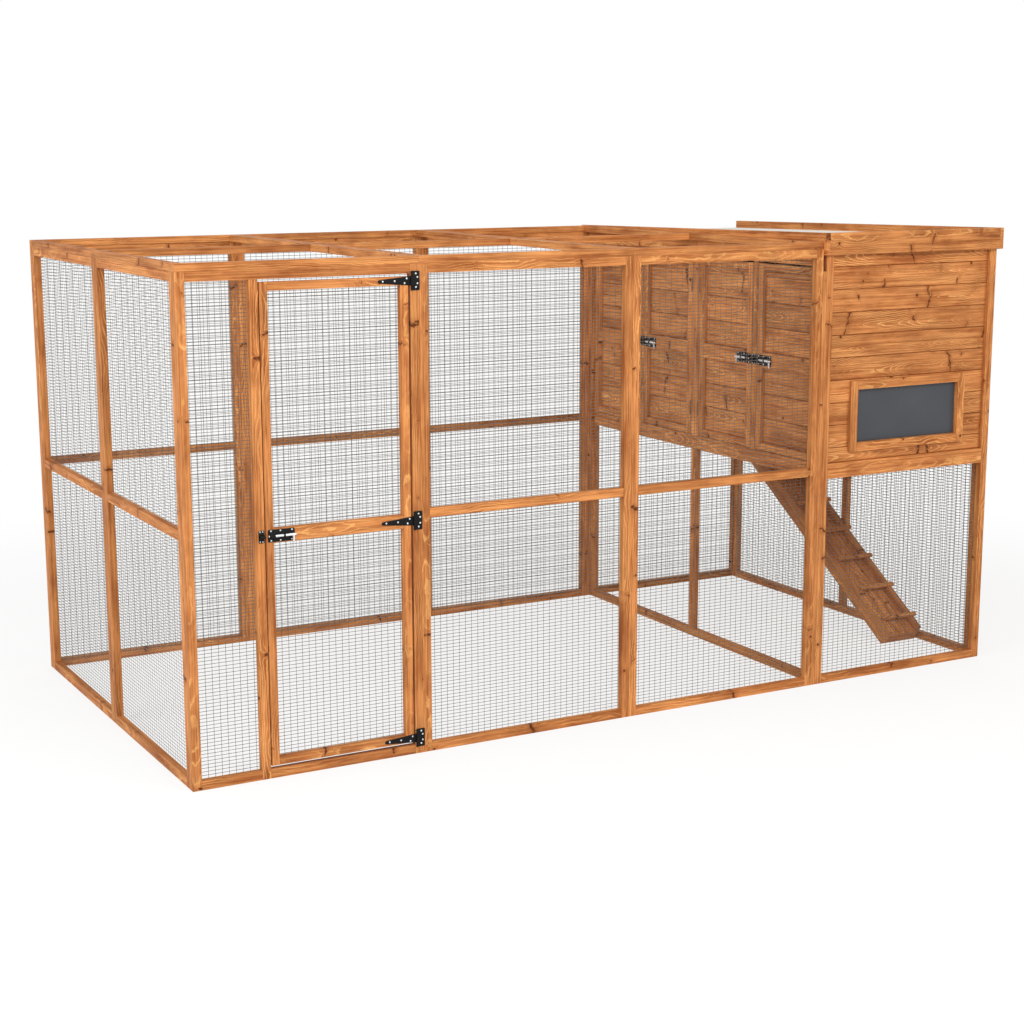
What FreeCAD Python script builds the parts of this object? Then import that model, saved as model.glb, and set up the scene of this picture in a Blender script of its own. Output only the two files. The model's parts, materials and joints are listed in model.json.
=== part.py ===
"""Rabbit hutch with a walk-in run: timber panels, weldmesh, a raised clad hutch and its ramp.

Millimetres. While it is built, X runs along the front from the left corner, Y from the
front to the back, Z up from the ground. The finished part is moved so that its origin is
the middle of its footprint, on the ground.
"""
import FreeCAD, Part
import math
import os

# Framing timber
timber_face = 34.0
timber_depth = 28.0

# Wall and roof panels of the run
panel_width = 897.0
panel_count = 3
wall_height = 1802.0
overall_depth = 1836.0
mid_rail_base = 885.0

# Weldmesh sheets, stapled to the inside of the frames, drawn with a coarse cell
mesh_thickness = 1.2
mesh_edge_width = 4.0
mesh_strand = 3.0
mesh_cell = 300.0

# Walk-in door in the left front panel
door_post_left = 258.0
door_timber_face = 30.0
door_mid_rail_face = 50.0
door_mid_rail_centre = 880.0
door_latch_gap = 4.0
door_hinge_gap = 8.0
door_top_gap = 10.0
door_foot_gap = 12.0

# Tee hinges of the walk-in door
plate_thickness = 2.5
tee_plate_height = 68.0
tee_strap_length = 124.0
tee_strap_root = 34.0
tee_strap_tip = 12.0
tee_knuckle_radius = 4.5
tee_pin_radius = 2.4

# Running clearances of pins, rods and hinge leaves
knuckle_sides = 12
pin_clearance = 0.05
side_clearance = 0.3

# Barrel bolts
bolt_plate_length = 100.0
bolt_plate_height = 44.0
bolt_plate_thickness = 1.5
rod_radius = 4.5
rod_lift = 8.0
guide_height = 20.0
guide_wall = 2.2
long_guide_length = 23.0
short_guide_length = 6.0
guide_end_gap = 2.0
second_guide_place = 56.0
rod_length = 102.0
rod_inset = 1.0
handle_place = 94.0
handle_radius = 3.0
handle_drop = 28.0
keeper_width = 21.0
keeper_height = 44.0
keeper_housing_height = 27.0
keeper_clearance = 0.8
keeper_wall = 2.0
walk_in_keeper_inset = 2.0
walk_in_bolt_inset = 7.0

# Hutch shell
hutch_width = 897.0
fascia_thickness = 18.0
fascia_height = 88.0
fascia_upstand = 34.0
floor_rail_base = 867.0
floor_rail_face = 62.0
hutch_rise = 18.0
roof_fall = 34.0
deck_thickness = 10.0
felt_thickness = 2.0
roof_back_overhang = 44.0
batten_drop = 89.0
header_back_height = 57.0

# Tongue-and-groove boards, recessed in the frames
board_thickness = 12.0
board_recess = 15.0
board_pitch = 92.0
first_board_width = 63.0
board_bevel = 2.5

# Window in the hutch end
window_width = 607.0
window_rise = 41.0
window_height = 292.0
window_timber_face = 36.0
pane_recess = 21.0
pane_thickness = 3.0

# Hutch floor and its bearers
floor_thickness = 12.0
hatch_length = 480.0
hatch_back_margin = 128.0
hatch_side_gap = 24.0
cut_overrun = 5.0

# Doors of the hutch, opening into the run
centre_post_width = 54.0
hutch_door_gap = 3.0
hutch_door_top_gap = 7.0
hutch_door_timber = 34.0
hutch_door_rail = 30.0
hutch_mid_rail_face = 66.0
hutch_mid_rail_rise = 387.0
door_board_pitch = 106.0
door_board_thickness = 12.0

# Butt hinges of the hutch doors
butt_height = 60.0
butt_leaf_width = 22.0
butt_leaf_thickness = 1.2
butt_knuckle_radius = 3.5
butt_pin_radius = 1.8
butt_inset = 120.0

# Ramp under the hatch
ramp_foot_y = 368.0
ramp_pin_drop = 4.0
ramp_rail_depth = 79.0
ramp_rail_thickness = 28.0
ramp_foot_rail_thickness = 28.0
ramp_width = 194.0
ramp_wall_gap = 14.0
ramp_board_count = 3
ramp_board_thickness = 14.0
ramp_board_drop = 25.0
ramp_board_gap = 2.0
ramp_batten_count = 4
tread_left_inset = 14.0
tread_right_overhang = 11.0
tread_width = 18.0
tread_thickness = 14.0
tread_pitch = 191.0
tread_start = 66.0
ramp_knuckle_radius = 4.0
ramp_pin_radius = 2.0
ramp_leaf_thickness = 1.5
ramp_leaf_length = 40.0

# Places worked out from the sizes above
run_length = panel_count * panel_width
hutch_left = run_length + fascia_thickness
hutch_right = hutch_left + hutch_width
back_face = overall_depth - timber_depth
side_panel_width = (overall_depth - 2 * timber_depth) / 2
overall_right = hutch_right + fascia_thickness
overall_front = -fascia_thickness
overall_back = overall_depth + roof_back_overhang
wall_inner_left = hutch_left + timber_depth
wall_inner_right = hutch_right - timber_depth
floor_top = floor_rail_base + floor_rail_face
floor_base = floor_top - floor_thickness
hutch_front_height = wall_height + hutch_rise
header_base = hutch_front_height - roof_fall - header_back_height
joint_batten_height = wall_height - batten_drop
roof_thickness = deck_thickness + felt_thickness
centre = overall_depth / 2


def box(x0, x1, y0, y1, z0, z1):
    corner = FreeCAD.Vector(x0, y0, z0)
    return Part.makeBox(x1 - x0, y1 - y0, z1 - z0, corner)


def point(plane, along, depth, up):
    """A point of a wall: along it, into its thickness, and up it."""
    if plane == "front":
        return FreeCAD.Vector(along, depth, up)
    if plane == "side":
        return FreeCAD.Vector(depth, along, up)
    return FreeCAD.Vector(along, up, depth)


def bar(plane, a0, a1, d0, d1, u0, u1):
    low = point(plane, a0, d0, u0)
    high = point(plane, a1, d1, u1)
    return box(low.x, high.x, low.y, high.y, low.z, high.z)


def prism(points, along):
    wire = Part.makePolygon(points + [points[0]])
    return Part.Face(wire).extrude(along)


def rectangle(plane, a0, a1, depth, u0, u1):
    corners = [(a0, u0), (a1, u0), (a1, u1), (a0, u1), (a0, u0)]
    return Part.makePolygon([point(plane, a, depth, u) for a, u in corners])


def rod_along(start, direction, radius, length):
    return Part.makeCylinder(radius, length, start, direction)


def knuckle(start, axis, radius, length):
    """A rolled knuckle along one of the main axes, drawn with flats."""
    spoke = FreeCAD.Vector(axis.y, axis.z, axis.x) * radius
    turn = FreeCAD.Rotation(axis, 360 / knuckle_sides)
    points = []
    for _ in range(knuckle_sides):
        points.append(start + spoke)
        spoke = turn.multVec(spoke)
    return prism(points, axis * length)


def fused(pieces):
    whole = pieces[0]
    for piece in pieces[1:]:
        whole = whole.fuse(piece)
    return whole.removeSplitter()


def framed_panel(plane, a0, a1, depth, height, rails):
    """Two full stiles with the foot rail and the other rails between them."""
    d1 = depth + timber_depth
    inner0 = a0 + timber_face
    inner1 = a1 - timber_face
    timbers = [
        bar(plane, a0, inner0, depth, d1, 0, height),
        bar(plane, inner1, a1, depth, d1, 0, height),
    ]
    for low, high in ((0, timber_face),) + rails:
        timbers.append(bar(plane, inner0, inner1, depth, d1, low, high))
    return timbers


def mesh_sheet(plane, a0, a1, depth, u0, u1):
    """A holed sheet that laps the timbers round the opening a0..a1, u0..u1."""
    columns = max(1, round((a1 - a0) / mesh_cell))
    rows = max(1, round((u1 - u0) / mesh_cell))
    step_a = (a1 - a0) / columns
    step_u = (u1 - u0) / rows
    half = mesh_strand / 2
    wires = [rectangle(plane, a0 - mesh_edge_width, a1 + mesh_edge_width, depth,
                       u0 - mesh_edge_width, u1 + mesh_edge_width)]
    for column in range(columns):
        left = a0 + column * step_a
        for row in range(rows):
            low = u0 + row * step_u
            wires.append(rectangle(
                plane, left + half, left + step_a - half, depth, low + half, low + step_u - half))
    face = Part.Face(wires)
    return face.extrude(point(plane, 0, mesh_thickness, 0))


wall_rails = (
    (mid_rail_base, mid_rail_base + timber_face),
    (wall_height - timber_face, wall_height),
)


def run_side_panel(a0):
    return framed_panel("side", a0, a0 + side_panel_width, 0, wall_height, wall_rails)


def run_panel(index, depth):
    left = index * panel_width
    return framed_panel("front", left, left + panel_width, depth, wall_height, wall_rails)


def run_panel_mesh(index, depth):
    left = index * panel_width
    return mesh_sheet("front", left + timber_face, left + panel_width - timber_face,
                      depth, timber_face, wall_height - timber_face)


def run_side_mesh(a0):
    return mesh_sheet("side", a0 + timber_face, a0 + side_panel_width - timber_face,
                      timber_depth, timber_face, wall_height - timber_face)


# Doorway of the walk-in door
doorway_left = door_post_left + timber_face
doorway_right = panel_width - timber_face
door_left = doorway_left + door_latch_gap
door_right = doorway_right - door_hinge_gap
door_foot = timber_face + door_foot_gap
door_head = wall_height - timber_face - door_top_gap
door_mid_base = door_mid_rail_centre - door_mid_rail_face / 2
door_mid_top = door_mid_rail_centre + door_mid_rail_face / 2


def door_panel_frame():
    top = wall_height - timber_face
    timbers = [
        box(0, timber_face, 0, timber_depth, 0, wall_height),
        box(doorway_right, panel_width, 0, timber_depth, 0, wall_height),
        box(door_post_left, doorway_left, 0, timber_depth, 0, top),
        box(timber_face, doorway_right, 0, timber_depth, top, wall_height),
    ]
    for x0, x1 in ((timber_face, door_post_left), (doorway_left, doorway_right)):
        timbers.append(box(x0, x1, 0, timber_depth, 0, timber_face))
    return timbers


def door_side_mesh():
    return mesh_sheet("front", timber_face, door_post_left, timber_depth,
                      timber_face, wall_height - timber_face)


def walk_in_door_frame():
    inner_left = door_left + door_timber_face
    inner_right = door_right - door_timber_face
    rails = [
        (door_foot, door_foot + door_timber_face),
        (door_mid_base, door_mid_top),
        (door_head - door_timber_face, door_head),
    ]
    timbers = [
        box(door_left, inner_left, 0, timber_depth, door_foot, door_head),
        box(inner_right, door_right, 0, timber_depth, door_foot, door_head),
    ]
    for low, high in rails:
        timbers.append(box(inner_left, inner_right, 0, timber_depth, low, high))
    return timbers


def walk_in_door_mesh():
    return mesh_sheet("front", door_left + door_timber_face, door_right - door_timber_face,
                      timber_depth, door_foot + door_timber_face, door_head - door_timber_face)


# Tee hinges: the plate and pin stay on the post, the strap turns with the door
tee_x = doorway_right + side_clearance + tee_knuckle_radius
tee_y = -side_clearance - tee_knuckle_radius
tee_heights = (
    door_foot + door_timber_face / 2,
    door_mid_rail_centre,
    door_head - door_timber_face / 2,
)
upward = FreeCAD.Vector(0, 0, 1)


def tee_plate(height):
    half = tee_plate_height / 2
    inner = tee_strap_root / 2 + side_clearance
    clear_x = tee_x + tee_knuckle_radius + side_clearance
    low = height - half
    high = height + half
    pieces = [box(clear_x, panel_width, -plate_thickness, 0, low, high)]
    for z0, z1 in ((low, height - inner), (height + inner, high)):
        pieces.append(box(tee_x, clear_x, -plate_thickness, 0, z0, z1))
        pieces.append(knuckle(FreeCAD.Vector(tee_x, tee_y, z0), upward,
                              tee_knuckle_radius, z1 - z0))
    pieces.append(rod_along(FreeCAD.Vector(tee_x, tee_y, low), upward,
                            tee_pin_radius, tee_plate_height))
    return fused(pieces)


def tee_strap(height):
    root = tee_strap_root / 2
    tip = tee_strap_tip / 2
    tip_x = tee_x - tee_strap_length
    outline = [
        FreeCAD.Vector(tee_x, 0, height - root),
        FreeCAD.Vector(tip_x, 0, height - tip),
        FreeCAD.Vector(tip_x, 0, height + tip),
        FreeCAD.Vector(tee_x, 0, height + root),
    ]
    strap = prism(outline, FreeCAD.Vector(0, -plate_thickness, 0))
    nose = rod_along(FreeCAD.Vector(tip_x, 0, height), FreeCAD.Vector(0, -1, 0),
                     tip, plate_thickness)
    base = FreeCAD.Vector(tee_x, tee_y, height - root)
    eye = knuckle(base, upward, tee_knuckle_radius, tee_strap_root)
    bore = rod_along(base, upward, tee_pin_radius + pin_clearance, tee_strap_root)
    relief = box(doorway_right - side_clearance, tee_x, -side_clearance, 0,
                 height - root, height + root)
    return fused([strap, nose, eye]).cut(relief).cut(bore)


def bolt_frame(origin, slide, outward):
    """Placement whose X slides towards the keeper, Z points out of the door and Y up or down."""
    sideways = outward.cross(slide)
    matrix = FreeCAD.Matrix(
        slide.x, sideways.x, outward.x, origin.x,
        slide.y, sideways.y, outward.y, origin.y,
        slide.z, sideways.z, outward.z, origin.z,
        0, 0, 0, 1)
    return FreeCAD.Placement(matrix)


def placed(shape, placement):
    copy = shape.copy()
    copy.Placement = placement.multiply(copy.Placement)
    return copy


def bolt_base(placement):
    """The back plate with a long guide at its keeper end and a short one behind it."""
    half = bolt_plate_height / 2
    cap = rod_lift + rod_radius + guide_wall
    pieces = [box(-bolt_plate_length, 0, -half, half, 0, bolt_plate_thickness)]
    guides = (
        (-guide_end_gap - long_guide_length, -guide_end_gap),
        (-second_guide_place - short_guide_length, -second_guide_place),
    )
    for x0, x1 in guides:
        pieces.append(box(x0, x1, -guide_height / 2, guide_height / 2, 0, cap))
    start = FreeCAD.Vector(-bolt_plate_length, 0, rod_lift)
    bore = rod_along(start, FreeCAD.Vector(1, 0, 0), rod_radius + pin_clearance,
                     bolt_plate_length)
    return placed(fused(pieces).cut(bore), placement)


def bolt_rod(placement, downward):
    """The rod with its bent-down handle; downward is -1 or 1 along the local Y."""
    start = FreeCAD.Vector(-rod_inset - rod_length, 0, rod_lift)
    rod = rod_along(start, FreeCAD.Vector(1, 0, 0), rod_radius, rod_length)
    handle = rod_along(FreeCAD.Vector(-handle_place, 0, rod_lift),
                       FreeCAD.Vector(0, downward, 0), handle_radius, handle_drop)
    return placed(fused([rod, handle]), placement)


def keeper(placement, width):
    """A hat-shaped keeper: a plate, two cheeks and a cap round the socket for the rod."""
    half = keeper_height / 2
    socket = rod_radius + keeper_clearance
    housing = keeper_housing_height / 2
    cap_base = rod_lift + socket
    return [placed(piece, placement) for piece in (
        box(0, width, -half, half, 0, bolt_plate_thickness),
        box(0, width, -housing, -socket, bolt_plate_thickness, cap_base),
        box(0, width, socket, housing, bolt_plate_thickness, cap_base),
        box(0, width, -housing, housing, cap_base, cap_base + keeper_wall),
    )]


walk_in_bolt_place = bolt_frame(
    FreeCAD.Vector(door_left + walk_in_bolt_inset, 0, door_mid_rail_centre),
    FreeCAD.Vector(-1, 0, 0), FreeCAD.Vector(0, -1, 0))
walk_in_keeper_place = bolt_frame(
    FreeCAD.Vector(doorway_left - walk_in_keeper_inset, 0, door_mid_rail_centre),
    FreeCAD.Vector(-1, 0, 0), FreeCAD.Vector(0, -1, 0))


def roof_panel(index):
    left = index * panel_width
    right = left + panel_width
    z0 = wall_height
    z1 = wall_height + timber_depth
    middle = overall_depth / 2
    half = timber_face / 2
    rails = [
        (0, timber_face),
        (middle - half, middle + half),
        (overall_depth - timber_face, overall_depth),
    ]
    inner_left = left + timber_face
    inner_right = right - timber_face
    timbers = [box(left, right, rails[0][0], rails[0][1], z0, z1),
               box(inner_left, inner_right, rails[1][0], rails[1][1], z0, z1),
               box(left, right, rails[2][0], rails[2][1], z0, z1)]
    for x0, x1 in ((left, inner_left), (inner_right, right)):
        timbers.append(box(x0, x1, rails[0][1], rails[2][0], z0, z1))
    return timbers


def joining_battens():
    return [box(run_length, hutch_left, y0, y0 + timber_depth, 0, joint_batten_height)
            for y0 in (0, back_face)]


def roof_underside(y):
    """Height of the sloping roof's underside at a distance from the front."""
    return hutch_front_height - roof_fall * y / overall_depth


def under_roof(shape, drop):
    """The part of a side wall's piece that lies below the roof, less a drop."""
    y0 = -cut_overrun
    y1 = overall_depth + cut_overrun
    x0 = hutch_left - cut_overrun
    outline = [
        FreeCAD.Vector(x0, y0, -cut_overrun),
        FreeCAD.Vector(x0, y1, -cut_overrun),
        FreeCAD.Vector(x0, y1, roof_underside(y1) - drop),
        FreeCAD.Vector(x0, y0, roof_underside(y0) - drop),
    ]
    keep = prism(outline, FreeCAD.Vector(hutch_width + 2 * cut_overrun, 0, 0))
    return shape.common(keep)


def sloped_bar(x0, x1, y0, y1, low_drop, high_drop):
    """A timber that follows the roof's slope, its edges given as drops below the roof."""
    outline = [
        FreeCAD.Vector(x0, y0, roof_underside(y0) - low_drop),
        FreeCAD.Vector(x0, y1, roof_underside(y1) - low_drop),
        FreeCAD.Vector(x0, y1, roof_underside(y1) - high_drop),
        FreeCAD.Vector(x0, y0, roof_underside(y0) - high_drop),
    ]
    return prism(outline, FreeCAD.Vector(x1 - x0, 0, 0))


floor_rail = (floor_rail_base, floor_top)


def hutch_end_frame(depth, height):
    rails = (floor_rail, (height - timber_face, height))
    return framed_panel("front", hutch_left, hutch_right, depth, height, rails)


# Posts of the side walls under and beside the hutch
post_front_face = timber_depth + timber_face
post_back_face = back_face - timber_face
leg_front = centre - timber_face / 2
leg_back = centre + timber_face / 2


def side_wall_base(x0, x1):
    """Foot rail, centre leg and floor rail between the end posts of a side wall."""
    return [
        box(x0, x1, post_front_face, post_back_face, 0, timber_face),
        box(x0, x1, leg_front, leg_back, timber_face, floor_rail_base),
        box(x0, x1, post_front_face, post_back_face, floor_rail_base, floor_top),
    ]


def hutch_right_frame():
    """End posts, a pair of studs above the floor rail, and sloping head rails."""
    x0 = wall_inner_right
    x1 = hutch_right
    posts = [
        (timber_depth, post_front_face, 0),
        (centre - timber_face, centre, floor_top),
        (centre, centre + timber_face, floor_top),
        (post_back_face, back_face, 0),
    ]
    timbers = side_wall_base(x0, x1)
    for y0, y1, z0 in posts:
        timbers.append(under_roof(box(x0, x1, y0, y1, z0, hutch_front_height), timber_face))
    for y0, y1 in ((timber_depth, centre), (centre, back_face)):
        timbers.append(sloped_bar(x0, x1, y0, y1, timber_face, 0))
    return timbers


# Doors of the hutch, counted from the front
centre_front = centre - centre_post_width / 2
centre_back = centre + centre_post_width / 2
mullion_front = (post_front_face + centre_front - timber_face) / 2
mullion_back = (centre_back + post_back_face - timber_face) / 2
hutch_doors = (
    (post_front_face, mullion_front, 1),
    (mullion_front + timber_face, centre_front, -1),
    (centre_back, mullion_back, 1),
    (mullion_back + timber_face, post_back_face, -1),
)
hutch_door_base = floor_top + hutch_door_gap
hutch_door_head = header_base - hutch_door_top_gap
hutch_mid_rail_centre = floor_top + hutch_mid_rail_rise


def run_side_frame():
    """Posts, base and header of the wall between the hutch and the run."""
    x0 = hutch_left
    x1 = wall_inner_left
    posts = [
        (timber_depth, post_front_face, 0),
        (post_back_face, back_face, 0),
        (centre_front, centre_back, floor_top),
        (mullion_front, mullion_front + timber_face, floor_top),
        (mullion_back, mullion_back + timber_face, floor_top),
    ]
    timbers = side_wall_base(x0, x1)
    timbers += [box(x0, x1, y0, y1, z0, header_base) for y0, y1, z0 in posts]
    header = box(x0, x1, timber_depth, back_face, header_base, hutch_front_height)
    timbers.append(under_roof(header, 0))
    return timbers


def board_rows(base, top, first_width, pitch):
    """Heights of the boards between base and top: a first one, then a fixed pitch."""
    rows = []
    low = base
    line = base + first_width
    while line < top - 2 * board_bevel:
        rows.append((low, line))
        low = line
        line += pitch
    rows.append((low, top))
    return rows


def board(plane, a0, a1, depth, low, high, outside):
    """A board whose long outer edges are bevelled; outside is -1 or 1 along the depth."""
    front = depth if outside < 0 else depth + board_thickness
    back = depth + board_thickness if outside < 0 else depth
    step = -outside * board_bevel
    outline = [
        point(plane, a0, back, low),
        point(plane, a0, front + step, low),
        point(plane, a0, front, low + board_bevel),
        point(plane, a0, front, high - board_bevel),
        point(plane, a0, front + step, high),
        point(plane, a0, back, high),
    ]
    return prism(outline, point(plane, a1 - a0, 0, 0))


window_left = (hutch_left + hutch_right - window_width) / 2
window_right = window_left + window_width
window_base = floor_top + window_rise
window_top = window_base + window_height


def front_cladding():
    boards = []
    window = box(window_left, window_right, 0, timber_depth, window_base, window_top)
    top = hutch_front_height - roof_fall * timber_depth / overall_depth - timber_face
    for low, high in board_rows(floor_top, top, first_board_width, board_pitch):
        piece = board("front", hutch_left + timber_face, hutch_right - timber_face,
                      board_recess, low, high, -1)
        boards += piece.cut(window).Solids
    return boards


def back_cladding():
    top = roof_underside(overall_depth) - timber_face
    depth = overall_depth - board_recess - board_thickness
    return [board("front", hutch_left + timber_face, hutch_right - timber_face,
                  depth, low, high, 1)
            for low, high in board_rows(floor_top, top, first_board_width, board_pitch)]


def right_cladding():
    boards = []
    depth = hutch_right - board_recess - board_thickness
    for a0 in (timber_depth, timber_depth + side_panel_width):
        inner0 = a0 + timber_face
        inner1 = a0 + side_panel_width - timber_face
        top = roof_underside(inner0) - timber_face
        for low, high in board_rows(floor_top, top, first_board_width, board_pitch):
            piece = board("side", inner0, inner1, depth, low, high, 1)
            boards.append(under_roof(piece, timber_face))
    return boards


def window_frame():
    face = window_timber_face
    left = window_left + face
    right = window_right - face
    return [
        box(window_left, left, 0, timber_depth, window_base, window_top),
        box(right, window_right, 0, timber_depth, window_base, window_top),
        box(left, right, 0, timber_depth, window_base, window_base + face),
        box(left, right, 0, timber_depth, window_top - face, window_top),
    ]


def window_pane():
    face = window_timber_face
    return box(window_left + face, window_right - face, pane_recess,
               pane_recess + pane_thickness, window_base + face, window_top - face)


def hutch_mesh():
    inner_left = hutch_left + timber_face
    inner_right = hutch_right - timber_face
    front = mesh_sheet("front", inner_left, inner_right, timber_depth,
                       timber_face, floor_rail_base)
    back = mesh_sheet("front", inner_left, inner_right, back_face - mesh_thickness,
                      timber_face, floor_rail_base)
    depth = wall_inner_right - mesh_thickness
    sides = [mesh_sheet("side", y0, y1, depth, timber_face, floor_rail_base)
             for y0, y1 in ((post_front_face, leg_front), (leg_back, post_back_face))]
    return [front, back] + sides


# The hatch in the floor, above the ramp's head
ramp_right = wall_inner_right - ramp_wall_gap
ramp_left = ramp_right - ramp_width
hatch_left = ramp_left - hatch_side_gap
hatch_back = back_face - hatch_back_margin
hatch_front = hatch_back - hatch_length


def hutch_floor():
    panel = box(wall_inner_left, wall_inner_right, timber_depth, back_face,
                floor_base, floor_top)
    hatch = box(hatch_left, wall_inner_right + cut_overrun, hatch_front, hatch_back,
                floor_base - cut_overrun, floor_top + cut_overrun)
    return panel.cut(hatch)


def floor_bearers():
    bearer_places = (timber_depth, hatch_front / 2, hatch_front - timber_face,
                     hatch_back, back_face - timber_face)
    return [box(wall_inner_left, wall_inner_right, y0, y0 + timber_face,
                floor_base - timber_face, floor_base) for y0 in bearer_places]


def roof_deck():
    return sloped_bar(hutch_left, hutch_right, 0, overall_back, 0, -deck_thickness)


def roof_felt():
    return sloped_bar(hutch_left, hutch_right, 0, overall_back, -deck_thickness,
                      -roof_thickness)


def roof_fascias():
    top = roof_thickness + fascia_upstand
    sides = [sloped_bar(x0, x0 + fascia_thickness, overall_front, overall_back,
                        fascia_height - top, -top) for x0 in (run_length, hutch_right)]
    front = box(hutch_left, hutch_right, overall_front, 0,
                hutch_front_height + top - fascia_height, hutch_front_height + top)
    return sides + [front]


def hutch_door_frame(a0, a1):
    face = hutch_door_timber
    mid = hutch_mid_rail_centre - hutch_mid_rail_face / 2
    rails = [
        (hutch_door_base, hutch_door_base + hutch_door_rail),
        (mid, mid + hutch_mid_rail_face),
        (hutch_door_head - hutch_door_rail, hutch_door_head),
    ]
    low = hutch_door_base
    high = hutch_door_head
    timbers = [
        bar("side", a0, a0 + face, hutch_left, wall_inner_left, low, high),
        bar("side", a1 - face, a1, hutch_left, wall_inner_left, low, high),
    ]
    for u0, u1 in rails:
        timbers.append(bar("side", a0 + face, a1 - face, hutch_left, wall_inner_left, u0, u1))
    return timbers


def hutch_door_boards(a0, a1):
    face = hutch_door_timber
    mid = hutch_mid_rail_centre - hutch_mid_rail_face / 2
    depth = hutch_left + board_recess
    spans = (
        (hutch_door_base + hutch_door_rail, mid),
        (mid + hutch_mid_rail_face, hutch_door_head - hutch_door_rail),
    )
    boards = []
    for base, top in spans:
        for low, high in board_rows(base, top, door_board_pitch, door_board_pitch):
            boards.append(board("side", a0 + face, a1 - face, depth, low, high, -1))
    return boards


def butt_heights():
    return (hutch_door_base + butt_inset, hutch_door_head - butt_inset)


def butt_axis(post_face, side):
    x = hutch_left - butt_knuckle_radius - side_clearance
    return x, post_face + side * hutch_door_gap / 2


def leaf(post_face, side, start, x0, z0, z1):
    """A hinge leaf in the gap beside a post, start measured from the post's face."""
    y0 = post_face + side * start
    y1 = y0 + side * butt_leaf_thickness
    return box(x0, hutch_left + butt_leaf_width, min(y0, y1), max(y0, y1), z0, z1)


def butt_spans(height):
    third = butt_height / 3
    low = height - butt_height / 2
    inner0 = low + third
    inner1 = inner0 + third
    return low, inner0, inner1, low + butt_height


def butt_post_leaf(post_face, side, height):
    """The leaf on the post, with the two outer knuckles and the pin."""
    axis_x, axis_y = butt_axis(post_face, side)
    low, inner0, inner1, high = butt_spans(height)
    pieces = [leaf(post_face, side, 0, hutch_left, low, high)]
    for z0, z1 in ((low, inner0), (inner1, high)):
        pieces.append(leaf(post_face, side, 0, axis_x, z0, z1))
        pieces.append(knuckle(FreeCAD.Vector(axis_x, axis_y, z0), upward,
                              butt_knuckle_radius, z1 - z0))
    pieces.append(rod_along(FreeCAD.Vector(axis_x, axis_y, low), upward,
                            butt_pin_radius, butt_height))
    return fused(pieces)


def butt_door_leaf(post_face, side, height):
    """The leaf on the door's edge, with the middle knuckle."""
    axis_x, axis_y = butt_axis(post_face, side)
    low, inner0, inner1, high = butt_spans(height)
    start = hutch_door_gap - butt_leaf_thickness
    z0 = inner0 + side_clearance
    z1 = inner1 - side_clearance
    base = FreeCAD.Vector(axis_x, axis_y, z0)
    pieces = [
        leaf(post_face, side, start, hutch_left, low, high),
        leaf(post_face, side, start, axis_x, z0, z1),
        knuckle(base, upward, butt_knuckle_radius, z1 - z0),
    ]
    bore = rod_along(base, upward, butt_pin_radius + pin_clearance, z1 - z0)
    return fused(pieces).cut(bore)


# Ramp: built level from its foot's lower corner, then turned up to meet its hinge
ramp_pin_y = hatch_back - ramp_knuckle_radius - side_clearance
ramp_pin_z = floor_base - timber_face - ramp_pin_drop
ramp_reach = math.hypot(ramp_pin_y - ramp_foot_y, ramp_pin_z)
ramp_length = math.sqrt(ramp_reach ** 2 - ramp_knuckle_radius ** 2) - ramp_knuckle_radius
ramp_angle = (math.atan2(ramp_pin_z, ramp_pin_y - ramp_foot_y)
              - math.asin(ramp_knuckle_radius / ramp_reach))
ramp_placement = FreeCAD.Placement(
    FreeCAD.Vector(0, ramp_foot_y, 0),
    FreeCAD.Rotation(FreeCAD.Vector(1, 0, 0), math.degrees(ramp_angle)))


def ramp_rails():
    """Side rails, their heads trimmed level with the top of the hutch floor."""
    above_floor = box(ramp_left, ramp_right, hatch_front, hatch_back,
                      floor_top, floor_top + ramp_rail_depth)
    rails = []
    for x0 in (ramp_left, ramp_right - ramp_rail_thickness):
        rail = box(x0, x0 + ramp_rail_thickness, 0, ramp_length, 0, ramp_rail_depth)
        rails.append(placed(rail, ramp_placement).cut(above_floor))
    return rails


def ramp_deck():
    """Lengthwise boards on a foot rail and battens, and the treads across the rails."""
    inner = ramp_left + ramp_rail_thickness
    space = ramp_width - 2 * ramp_rail_thickness
    width = (space - (ramp_board_count - 1) * ramp_board_gap) / ramp_board_count
    top = ramp_rail_depth - ramp_board_drop
    seat = top - ramp_board_thickness
    pieces = [box(inner, inner + space, 0, ramp_foot_rail_thickness, 0, seat)]
    for index in range(ramp_board_count):
        x0 = inner + index * (width + ramp_board_gap)
        pieces.append(box(x0, x0 + width, 0, ramp_length, seat, top))
    spacing = (ramp_length - timber_face) / ramp_batten_count
    for index in range(1, ramp_batten_count + 1):
        start = index * spacing
        pieces.append(box(inner, inner + space, start, start + timber_face,
                          seat - ramp_board_thickness, seat))
    place = tread_start
    while place < ramp_length - tread_pitch / 2:
        pieces.append(box(ramp_left + tread_left_inset, ramp_right + tread_right_overhang,
                          place, place + tread_width,
                          ramp_rail_depth, ramp_rail_depth + tread_thickness))
        place += tread_pitch
    return [placed(piece, ramp_placement) for piece in pieces]


across = FreeCAD.Vector(1, 0, 0)
ramp_hinge_third = ramp_width / 3
ramp_hinge_inner = (ramp_left + ramp_hinge_third, ramp_right - ramp_hinge_third)


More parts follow.
